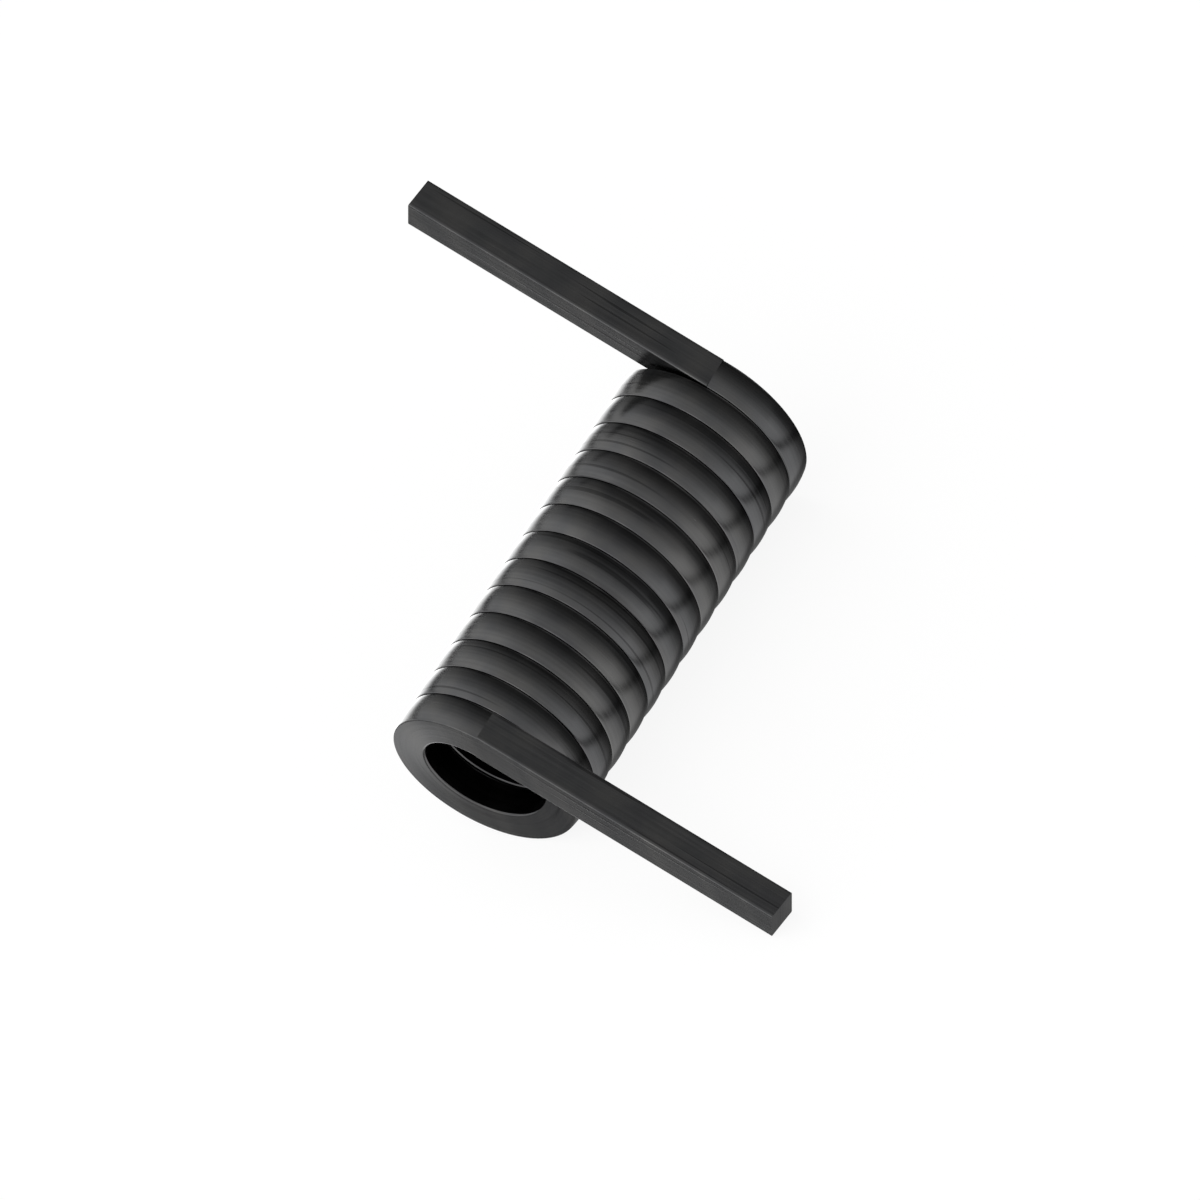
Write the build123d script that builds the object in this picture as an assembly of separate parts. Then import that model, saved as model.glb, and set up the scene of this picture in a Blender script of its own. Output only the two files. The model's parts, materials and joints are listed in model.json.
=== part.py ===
from build123d import *
from math import asin, atan2, cos, hypot, radians, sin
import os

# Torsion spring, lying as it comes to rest: the coil on its side, one leg's tip down.
# The origin is the middle of the coil, on its axis. X runs along the coil, Z is up.
# Millimetres and degrees.

# Wire
wire_width = 3.7            # along the coil
wire_depth = 4.0            # across the coil, towards its axis
wire_edge_radius = 0.15     # on the long edges of the wire
inner_edge_radius = 0.5     # on the coiled wire's inner edges, before the bore trims them
bore_allowance = 0.05       # wire left inside the bore for that trim

# Coil, wound left-handed
bore_radius = 6.75          # free radius inside the coil
turns = 13                  # from one leg to the other
turn_gap = 0.07             # air between two turns, along the coil
crown_height = 0.2          # how far the coiled wire's outer face bulges

# Legs, one at each end, pointing opposite ways
leg_length = 38.0           # straight part, from where it leaves the coil
leg_tilt = 5.5              # how far a leg leans away from the coil's end
leg_root = 0.2              # how far a leg's straight wire reaches into the coil

# Sizes that follow
outer_radius = bore_radius + wire_depth
mean_radius = bore_radius + wire_depth / 2
pitch = wire_width + turn_gap
leg_spacing = turns * pitch
bore_cutter_length = leg_spacing + 2 * wire_width    # past both ends of the coil


def wire_path():
    """The middle line of the coiled wire, about the Z axis, with both ends over the X axis."""
    return Helix(
        pitch,
        leg_spacing,
        mean_radius,
        center=(0, 0, -leg_spacing / 2),
        lefthand=True,
    )


def coil_section():
    """The coiled wire's section: X points away from the coil's axis, Y along the coil.

    Its inner side is left too deep, and the bore trims it to a true cylinder.
    """
    half_width = wire_width / 2
    crest = wire_depth / 2
    shoulder = crest - crown_height
    inside = -wire_depth / 2 - bore_allowance
    outline = [
        Line((shoulder, -half_width), (inside, -half_width)),
        Line((inside, -half_width), (inside, half_width)),
        Line((inside, half_width), (shoulder, half_width)),
        ThreePointArc((shoulder, half_width), (crest, 0), (shoulder, -half_width)),
    ]
    section = make_face(outline)
    outer_corners = section.vertices().sort_by(Axis.X)[-2:]
    section = fillet(outer_corners, wire_edge_radius)
    inner_corners = section.vertices().sort_by(Axis.X)[:2]
    return fillet(inner_corners, inner_edge_radius)


def coil():
    """The close-wound turns, open right through."""
    path = wire_path()
    start = Plane(origin=path @ 0, x_dir=(1, 0, 0), z_dir=(0, -1, 0))
    turns_solid = sweep(start * coil_section(), path=path, is_frenet=True)
    bore = Cylinder(bore_radius, bore_cutter_length)
    return turns_solid - bore


def leg():
    """The straight wire that runs off the start of the coil, tangent to it."""
    tilt = radians(leg_tilt)
    root = Plane(
        origin=wire_path() @ 0,
        x_dir=(1, 0, 0),
        z_dir=(0, cos(tilt), -sin(tilt)),
    )
    section = Rectangle(wire_depth, wire_width)
    section = fillet(section.vertices(), wire_edge_radius)
    bar = extrude(section, leg_length + leg_root)
    return root * Pos(0, 0, -leg_root) * bar


def lean_angle():
    """How far the legs' common side leans from upright once one tip is on the ground.

    The coil touches the ground at its outer radius, and the tip with the end of its
    inner face, so both are as low as each other.
    """
    tilt = radians(leg_tilt)
    reach = leg_length * cos(tilt) + (wire_width / 2 - wire_edge_radius) * sin(tilt)
    tip_distance = hypot(reach, bore_radius)
    return atan2(bore_radius, reach) + asin(outer_radius / tip_distance)


def torsion_spring():
    """The whole spring, one solid, laid down as it rests."""
    first_leg = leg()
    second_leg = first_leg.rotate(Axis.X, 180)
    spring = coil() + first_leg + second_leg
    lean = lean_angle()
    lying = Plane(origin=(0, 0, 0), x_dir=(0, -sin(lean), cos(lean)), z_dir=(1, 0, 0))
    return lying * spring


os.makedirs("parts", exist_ok=True)
export_step(torsion_spring(), "parts/torsion_spring.step")
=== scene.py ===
import json
import math

import bpy
from mathutils import Matrix, Vector


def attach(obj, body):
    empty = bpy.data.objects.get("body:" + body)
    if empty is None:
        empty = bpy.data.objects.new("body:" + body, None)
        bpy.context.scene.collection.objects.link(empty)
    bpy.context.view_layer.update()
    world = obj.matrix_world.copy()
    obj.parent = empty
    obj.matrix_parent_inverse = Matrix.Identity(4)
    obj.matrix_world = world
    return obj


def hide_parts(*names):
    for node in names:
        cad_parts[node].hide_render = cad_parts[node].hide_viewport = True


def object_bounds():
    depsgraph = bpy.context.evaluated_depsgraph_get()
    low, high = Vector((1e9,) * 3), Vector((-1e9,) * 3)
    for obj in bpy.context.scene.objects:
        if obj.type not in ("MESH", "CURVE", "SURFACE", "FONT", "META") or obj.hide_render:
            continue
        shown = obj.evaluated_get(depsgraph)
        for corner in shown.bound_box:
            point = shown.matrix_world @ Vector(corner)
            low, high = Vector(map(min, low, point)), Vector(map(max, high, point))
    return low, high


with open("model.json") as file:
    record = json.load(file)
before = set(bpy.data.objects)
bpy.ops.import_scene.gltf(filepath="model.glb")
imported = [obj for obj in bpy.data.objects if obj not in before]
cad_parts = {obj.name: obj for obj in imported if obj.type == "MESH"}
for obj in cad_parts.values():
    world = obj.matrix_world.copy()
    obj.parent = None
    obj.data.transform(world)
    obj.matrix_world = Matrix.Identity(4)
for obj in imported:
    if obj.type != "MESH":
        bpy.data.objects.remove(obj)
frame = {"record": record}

cad_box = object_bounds()

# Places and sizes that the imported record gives, in metres
MOUNTS = {mount["name"]: mount for mount in frame["record"]["mounts"]}
BORE_RADIUS = MOUNTS["arbor_bore"]["dims"]["r_mm"] / 1000
COIL_MIDDLE = Vector(MOUNTS["arbor_bore"]["pos_m"])
ALONG = Vector(MOUNTS["arbor_bore"]["axis"])
LEG_SIDE = Vector(MOUNTS["first_leg_face"]["axis"]).normalized()
ACROSS = ALONG.cross(LEG_SIDE)

# The spring's other sizes, as in the CAD source, in metres and degrees
WIRE_WIDTH = 0.0037
WIRE_DEPTH = 0.004
EDGE_RADIUS = 0.00015
INNER_EDGE_RADIUS = 0.0003
CROWN_HEIGHT = 0.0002
TURNS = 13
TURN_GAP = 0.00007
LEG_LENGTH = 0.038
LEG_TILT = 5.5

MEAN_RADIUS = BORE_RADIUS + WIRE_DEPTH / 2
PITCH = WIRE_WIDTH + TURN_GAP
LEG_SPACING = TURNS * PITCH

# How finely the wire is cut
STEPS_A_TURN = 120
STEPS_A_LEG = 24
CROWN_STEPS = 14
CORNER_STEPS = 4
FLAT_CROWN = 1e-7             # stands for a face with no bulge

# Below, a range is (from low, from high, to low, to high)

# The finish: noises as (grains a metre each way, detail), then their ranges and the colours
MARKS = ((60.0, 3500.0, 1.0), 5.0)
SCORES = ((35.0, 2200.0, 1.0), 0.0)
PATCHES = ((260.0, 260.0, 1.0), 4.0)
SCORE_DEPTH = (0.69, 0.72, 0.0, 1.0)
MARK_TONE = (0.3, 0.7, 0.88, 1.12)
PATCH_TONE = (0.3, 0.7, 0.88, 1.12)
SCORE_TONE = (0.0, 1.0, 1.0, 0.6)
PATCH_WEAR = (0.4, 0.65, 0.0, 0.45)
PATCH_WARMTH = (0.4, 0.62, 0.0, 1.0)
MARK_ROUGHNESS = (0.3, 0.7, 0.17, 0.25)
PATCH_ROUGHNESS = (0.3, 0.7, -0.02, 0.04)
COOL_OXIDE = (0.0795, 0.0805, 0.0825, 1)
WARM_OXIDE = (0.082, 0.0815, 0.0805, 1)
EDGE_SHEEN = (0.75, 0.75, 0.75, 1)
RELIEF_DEPTH = 0.00001
RELIEF_STRENGTH = 0.35

# The studio as the metal sees it: directions from the spring, and the light's ranges
ABOVE = (0, -0.468, 0.884)
BAND_NORMAL = (0.58, -0.28, 0.77)
LOW_LEFT = (-0.1, 0.6, -0.79)
LOW_BEHIND = (0.3, 0.88, -0.37)
BAND_SHARE = (0.03, 0.11, 0.2, 1.0)
FAR_LIGHT = (0.76, 0.95, 0.0, 0.7)
SKY_START = 2.05
SKY_FADE = -3.4
SKY_LOSS = 0.15
SKY_CEILING = 0.8
SKY_AROUND_ABOVE = (-0.05, 0.9, 2.9, 1.12)
BRIGHTEST_SKY = 1.4
FLOOR_TOWARDS_X = (0.27, 0.61, 1.5, 0.1)
FLOOR_TOWARDS_Y = (-0.12, 0.06, 1.0, 0.3)
LOW_LEFT_LIGHT = (0.962, 0.985, 0.0, 2.3)
LOW_BEHIND_LIGHT = (0.92, 0.98, 0.0, 5.0)

# The floor as the camera sees it
FLOOR_HALF = 2.0
FLOOR_COLOUR = (0.85, 0.85, 0.85, 1)
PLAIN_GLOW = 1.05
GLOW_SHARE = 0.85             # the rest of what the camera sees is lit, and keeps the shadow

# The view: a parallel projection, from 60 degrees above the legs' common plane
VIEW_HEIGHT = 60.0
VIEW_TURN = 29.5
VIEW_SPAN = 1.2 / 9.5375      # the frame's width: 1200 pixels, 9.5375 to the millimetre
CAMERA_DISTANCE = 0.6


def arc(centre, radius, start, end, steps):
    """Points on an arc, both ends included."""
    points = []
    for i in range(steps + 1):
        angle = start + (end - start) * i / steps
        points.append((centre[0] + radius * math.cos(angle), centre[1] + radius * math.sin(angle)))
    return points


def section(width, depth, crown, corner, inner_corner):
    """Points around the wire's section, as (away from the coil's axis, along the coil)."""
    half = width / 2
    top = depth / 2
    crown_radius = (half * half + crown * crown) / (2 * crown)
    crown_centre = top - crown_radius
    corner_v = half - corner
    corner_u = crown_centre + math.sqrt((crown_radius - corner) ** 2 - corner_v ** 2)
    spread = math.atan2(corner_v, corner_u - crown_centre)
    low_u = -top + inner_corner
    low_v = half - inner_corner
    quarter = math.pi / 2
    points = arc((crown_centre, 0), crown_radius, -spread, spread, CROWN_STEPS)[:-1]
    points += arc((corner_u, corner_v), corner, spread, quarter, CORNER_STEPS)
    points += arc((low_u, low_v), inner_corner, quarter, 2 * quarter, CORNER_STEPS)
    points += arc((low_u, -low_v), inner_corner, 2 * quarter, 3 * quarter, CORNER_STEPS)
    points += arc((corner_u, -corner_v), corner, -quarter, -spread, CORNER_STEPS)[:-1]
    return points


def spin(angle):
    """The direction away from the coil's axis, at an angle wound on from the legs' side."""
    return LEG_SIDE * math.cos(angle) - ACROSS * math.sin(angle)


def stations():
    """Places along the wire: (middle, away from the axis, sideways, is_leg, length so far)."""
    tilt = math.radians(LEG_TILT)
    first_leg_way = ACROSS * math.cos(tilt) - ALONG * math.sin(tilt)
    leg_sideways = ALONG * math.cos(tilt) + ACROSS * math.sin(tilt)
    root_sideways = ALONG / math.cos(tilt)
    turn_length = math.hypot(2 * math.pi * MEAN_RADIUS, PITCH)
    start = COIL_MIDDLE + LEG_SIDE * MEAN_RADIUS - ALONG * LEG_SPACING / 2
    end = COIL_MIDDLE + LEG_SIDE * MEAN_RADIUS + ALONG * LEG_SPACING / 2
    result = []
    for i in range(STEPS_A_LEG + 1):
        length = LEG_LENGTH * (1 - i / STEPS_A_LEG)
        sideways = leg_sideways if i < STEPS_A_LEG else root_sideways
        middle = start + first_leg_way * length
        result.append((middle, LEG_SIDE, sideways, True, -length))
    for i in range(TURNS * STEPS_A_TURN + 1):
        turn = i / STEPS_A_TURN
        out = spin(2 * math.pi * turn)
        middle = COIL_MIDDLE + out * MEAN_RADIUS + ALONG * (PITCH * turn - LEG_SPACING / 2)
        result.append((middle, out, ALONG, False, turn_length * turn))
    for i in range(STEPS_A_LEG + 1):
        length = LEG_LENGTH * i / STEPS_A_LEG
        sideways = leg_sideways if i > 0 else root_sideways
        middle = end - first_leg_way * length
        result.append((middle, LEG_SIDE, sideways, True, turn_length * TURNS + length))
    return result


def spring_mesh():
    """One closed mesh of the whole wire, and how many points go round its section."""
    leg_section = section(WIRE_WIDTH, WIRE_DEPTH, FLAT_CROWN, EDGE_RADIUS, EDGE_RADIUS)
    coil_section = section(WIRE_WIDTH, WIRE_DEPTH, CROWN_HEIGHT, EDGE_RADIUS, INNER_EDGE_RADIUS)
    count = len(leg_section)
    places = stations()
    vertices = []
    for middle, away, sideways, is_leg, length in places:
        for u, v in (leg_section if is_leg else coil_section):
            vertices.append(middle + away * u + sideways * v)
    faces = [tuple(range(count))]
    for ring in range(len(places) - 1):
        low = ring * count
        for i in range(count):
            j = (i + 1) % count
            faces.append((low + i, low + count + i, low + count + j, low + j))
    last = (len(places) - 1) * count
    faces.append(tuple(last + i for i in reversed(range(count))))
    mesh = bpy.data.meshes.new("spring_wire")
    mesh.from_pydata(vertices, [], faces)
    mark_edges(mesh, count)
    map_wire(mesh, leg_section, [length for *_, length in places])
    mesh.validate()
    return mesh, count


def mark_edges(mesh, count):
    """An attribute that is 1 on the wire's two outer edges, where the finish wears."""
    first_corner = range(CROWN_STEPS, CROWN_STEPS + CORNER_STEPS)
    second_corner = range(count - CORNER_STEPS + 1, count)
    ring = [1.0 if i in first_corner or i in second_corner else 0.0 for i in range(count)]
    wear = mesh.attributes.new("edge_wear", "FLOAT", "POINT")
    wear.data.foreach_set("value", ring * (len(mesh.vertices) // count))


def map_wire(mesh, leg_section, lengths):
    """A map of length along the wire and way around it; the cut ends are mapped flat."""
    count = len(leg_section)
    around = [0.0]
    for i in range(count):
        u, v = leg_section[i]
        next_u, next_v = leg_section[(i + 1) % count]
        around.append(around[-1] + math.hypot(next_u - u, next_v - v))
    wire_map = mesh.uv_layers.new(name="wire_map")
    for polygon in mesh.polygons:
        is_end = len(polygon.vertices) == count
        polygon.use_smooth = not is_end
        spots = [v % count for v in polygon.vertices]
        wraps = not is_end and 0 in spots and count - 1 in spots
        for loop in polygon.loop_indices:
            ring, spot = divmod(mesh.loops[loop].vertex_index, count)
            way = around[count] if wraps and spot == 0 else around[spot]
            wire_map.data[loop].uv = leg_section[spot] if is_end else (lengths[ring], way)


def make_spring():
    mesh, count = spring_mesh()
    spring = bpy.data.objects.new("spring_wire", mesh)
    bpy.context.scene.collection.objects.link(spring)
    # The cut ends, and the step at each leg's root, stay sharp
    last = len(mesh.vertices) // count - 1
    hard_rings = {0, STEPS_A_LEG, STEPS_A_LEG + 1, last - STEPS_A_LEG - 1, last - STEPS_A_LEG, last}
    for edge in mesh.edges:
        a, b = edge.vertices
        if a // count == b // count and a // count in hard_rings:
            edge.use_edge_sharp = True
    weighted = spring.modifiers.new("even_shading", "WEIGHTED_NORMAL")
    weighted.keep_sharp = True
    spring.data.materials.append(spring_steel())
    return spring


# A colour mix node's sockets, by number
FIRST_COLOUR = 6
SECOND_COLOUR = 7
MIXED_COLOUR = 2


class Graph:
    """Adds nodes to a node tree; each value is a constant or the output that it comes from."""

    def __init__(self, tree):
        self.nodes = tree.nodes
        self.links = tree.links

    def feed(self, socket, value):
        if isinstance(value, bpy.types.NodeSocket):
            self.links.new(value, socket)
        else:
            socket.default_value = value

    def add(self, kind, sockets, **settings):
        """A new node, its sockets given by name or number."""
        node = self.nodes.new(kind)
        for name, value in settings.items():
            setattr(node, name, value)
        for name, value in sockets.items():
            self.feed(node.inputs[name], value)
        return node

    def maths(self, operation, first, second=0.0):
        node = self.add("ShaderNodeMath", {0: first, 1: second}, operation=operation)
        return node.outputs["Value"]

    def dot(self, direction, axis):
        node = self.add("ShaderNodeVectorMath", {0: direction, 1: axis}, operation="DOT_PRODUCT")
        return node.outputs["Value"]

    def split(self, direction):
        return self.add("ShaderNodeSeparateXYZ", {"Vector": direction}).outputs

    def noise(self, source, grain, detail):
        stretch = self.add("ShaderNodeMapping", {"Vector": source, "Scale": grain})
        sockets = {"Vector": stretch.outputs["Vector"], "Scale": 1.0, "Detail": detail}
        return self.add("ShaderNodeTexNoise", sockets).outputs["Fac"]

    def ranged(self, source, limits, curve="LINEAR"):
        """The source, mapped from one range to another and held there."""
        low, high, to_low, to_high = limits
        sockets = {
            "Value": source,
            "From Min": low,
            "From Max": high,
            "To Min": to_low,
            "To Max": to_high,
        }
        return self.add("ShaderNodeMapRange", sockets, interpolation_type=curve).outputs["Result"]

    def mixed(self, share, first, second, blend="MIX"):
        sockets = {"Factor": share, FIRST_COLOUR: first, SECOND_COLOUR: second}
        node = self.add("ShaderNodeMix", sockets, data_type="RGBA", blend_type=blend)
        return node.outputs[MIXED_COLOUR]


def spring_steel():
    """Black oxide on drawn wire: fine marks along it, dark scores, patchy tone, worn edges."""
    material = bpy.data.materials.new("spring_steel")
    material.use_nodes = True
    graph = Graph(material.node_tree)
    wire_map = graph.add("ShaderNodeUVMap", {}, uv_map="wire_map").outputs["UV"]
    place = graph.add("ShaderNodeTexCoord", {}).outputs["Object"]
    wear = graph.add("ShaderNodeAttribute", {}, attribute_name="edge_wear").outputs["Fac"]

    marks = graph.noise(wire_map, *MARKS)
    scores = graph.ranged(graph.noise(wire_map, *SCORES), SCORE_DEPTH)
    patches = graph.noise(place, *PATCHES)

    tone = graph.ranged(patches, PATCH_TONE)
    tone = graph.maths("MULTIPLY", tone, graph.ranged(marks, MARK_TONE))
    tone = graph.maths("MULTIPLY", tone, graph.ranged(scores, SCORE_TONE))
    worn = graph.maths("MULTIPLY", wear, graph.ranged(patches, PATCH_WEAR))
    tone = graph.maths("ADD", tone, worn)
    oxide = graph.mixed(graph.ranged(patches, PATCH_WARMTH), COOL_OXIDE, WARM_OXIDE)
    colour = graph.mixed(1.0, oxide, tone, "MULTIPLY")

    roughness = graph.ranged(marks, MARK_ROUGHNESS)
    roughness = graph.maths("ADD", roughness, graph.ranged(patches, PATCH_ROUGHNESS))
    height = graph.maths("SUBTRACT", marks, scores)
    relief = {"Height": height, "Strength": RELIEF_STRENGTH, "Distance": RELIEF_DEPTH}
    shader = graph.nodes["Principled BSDF"]
    graph.feed(shader.inputs["Metallic"], 1.0)
    graph.feed(shader.inputs["Specular Tint"], EDGE_SHEEN)
    graph.feed(shader.inputs["Base Color"], colour)
    graph.feed(shader.inputs["Roughness"], roughness)
    graph.feed(shader.inputs["Normal"], graph.add("ShaderNodeBump", relief).outputs["Normal"])
    return material


def dark_band(graph, direction):
    """The dark gap between the studio's light and its floor, as a share of the light."""
    edge = graph.maths("ABSOLUTE", graph.dot(direction, BAND_NORMAL))
    return graph.ranged(edge, BAND_SHARE)


def far_side(graph, towards_x):
    """The studio's plain light at the +X end, past the dim part."""
    return graph.ranged(towards_x, FAR_LIGHT, "SMOOTHSTEP")


def sky_light(graph, direction):
    """How bright the studio is: lightest to -X and low down, fading to +X, plain past that."""
    towards_x = graph.split(direction)["X"]
    fall = graph.maths("EXPONENT", graph.maths("MULTIPLY", towards_x, SKY_FADE))
    fall = graph.maths("SUBTRACT", graph.maths("MULTIPLY", fall, SKY_START), SKY_LOSS)
    fall = graph.maths("MINIMUM", fall, SKY_CEILING)
    around_above = graph.ranged(graph.dot(direction, ABOVE), SKY_AROUND_ABOVE)
    light = graph.maths("MULTIPLY", fall, around_above)
    light = graph.maths("MULTIPLY", light, dark_band(graph, direction))
    light = graph.maths("MINIMUM", light, BRIGHTEST_SKY)
    return graph.maths("MAXIMUM", light, far_side(graph, towards_x))


def floor_light(graph, direction):
    """How bright the floor is to the metal: lightest to -X and in front, with two bright places."""
    ways = graph.split(direction)
    light = graph.ranged(ways["X"], FLOOR_TOWARDS_X, "SMOOTHSTEP")
    light = graph.maths("MULTIPLY", light, graph.ranged(ways["Y"], FLOOR_TOWARDS_Y))
    low_left = graph.ranged(graph.dot(direction, LOW_LEFT), LOW_LEFT_LIGHT)
    light = graph.maths("ADD", light, low_left)
    low_behind = graph.ranged(graph.dot(direction, LOW_BEHIND), LOW_BEHIND_LIGHT)
    light = graph.maths("MAXIMUM", light, low_behind)
    light = graph.maths("MULTIPLY", light, dark_band(graph, direction))
    return graph.maths("MAXIMUM", light, far_side(graph, ways["X"]))


def pale_floor():
    """Plain and pale to the camera, with a faint shadow; a graded studio floor to the metal."""
    material = bpy.data.materials.new("pale_floor")
    material.use_nodes = True
    graph = Graph(material.node_tree)
    graph.nodes.clear()
    path = graph.add("ShaderNodeLightPath", {}).outputs
    incoming = graph.add("ShaderNodeNewGeometry", {}).outputs["Incoming"]
    onward = graph.add("ShaderNodeVectorMath", {0: incoming, "Scale": -1.0}, operation="SCALE")
    to_metal = floor_light(graph, onward.outputs["Vector"])
    strength = graph.maths("MULTIPLY", to_metal, path["Is Glossy Ray"])
    plain = graph.maths("SUBTRACT", 1.0, path["Is Glossy Ray"])
    strength = graph.maths("ADD", strength, graph.maths("MULTIPLY", plain, PLAIN_GLOW))
    seen = graph.maths("MAXIMUM", path["Is Camera Ray"], path["Is Transmission Ray"])
    share = graph.maths("MAXIMUM", graph.maths("MULTIPLY", seen, GLOW_SHARE), path["Is Glossy Ray"])
    matt = graph.add("ShaderNodeBsdfDiffuse", {"Color": FLOOR_COLOUR})
    glow = graph.add("ShaderNodeEmission", {"Strength": strength})
    mix = graph.add("ShaderNodeMixShader", {"Fac": share, 1: matt.outputs[0], 2: glow.outputs[0]})
    graph.add("ShaderNodeOutputMaterial", {"Surface": mix.outputs[0]})
    return material


def make_floor():
    height = cad_box[0].z
    mesh = bpy.data.meshes.new("floor")
    signs = ((-1, -1), (1, -1), (1, 1), (-1, 1))
    corners = [(x * FLOOR_HALF, y * FLOOR_HALF, height) for x, y in signs]
    mesh.from_pydata(corners, [], [(0, 1, 2, 3)])
    floor = bpy.data.objects.new("floor", mesh)
    bpy.context.scene.collection.objects.link(floor)
    mesh.materials.append(pale_floor())


def soft_light(name, azimuth, height, distance, size, power):
    """A round soft lamp that looks at the coil, from an azimuth counted from +X, in degrees."""
    turn = math.radians(azimuth)
    rise = math.radians(height)
    level = math.cos(rise)
    toward = Vector((level * math.cos(turn), level * math.sin(turn), math.sin(rise)))
    lamp = bpy.data.lights.new(name, "AREA")
    lamp.shape = "DISK"
    lamp.size = size
    lamp.energy = power
    obj = bpy.data.objects.new(name, lamp)
    bpy.context.scene.collection.objects.link(obj)
    obj.location = COIL_MIDDLE + toward * distance
    obj.rotation_mode = "QUATERNION"
    obj.rotation_quaternion = (-toward).to_track_quat("-Z", "Y")
    obj.visible_camera = False


def make_camera():
    """A parallel camera, turned and raised to the view."""
    turn = math.radians(VIEW_TURN)
    height = math.radians(VIEW_HEIGHT)
    right = ALONG * math.sin(turn) + ACROSS * math.cos(turn)
    ahead = ALONG * math.cos(turn) - ACROSS * math.sin(turn)
    up = ahead * math.sin(height) + LEG_SIDE * math.cos(height)
    back = LEG_SIDE * math.sin(height) - ahead * math.cos(height)
    data = bpy.data.cameras.new("camera")
    data.type = "ORTHO"
    data.ortho_scale = VIEW_SPAN
    camera = bpy.data.objects.new("camera", data)
    bpy.context.scene.collection.objects.link(camera)
    spot = COIL_MIDDLE + back * CAMERA_DISTANCE
    camera.matrix_world = Matrix.Translation(spot) @ Matrix((right, up, back)).transposed().to_4x4()
    bpy.context.scene.camera = camera


def make_world():
    world = bpy.data.worlds.new("studio")
    world.use_nodes = True
    graph = Graph(world.node_tree)
    light = sky_light(graph, graph.add("ShaderNodeTexCoord", {}).outputs["Generated"])
    seen = graph.add("ShaderNodeLightPath", {}).outputs["Is Camera Ray"]
    background = graph.nodes["Background"].inputs
    graph.feed(background["Strength"], graph.maths("MAXIMUM", light, seen))
    graph.feed(background["Color"], (1, 1, 1, 1))
    bpy.context.scene.world = world


spring = make_spring()
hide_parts("torsion_spring")
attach(spring, "root")
make_floor()
make_camera()
make_world()
soft_light("overhead", azimuth=200, height=55, distance=0.8, size=0.4, power=0.3)
bpy.context.scene.view_settings.view_transform = "Standard"
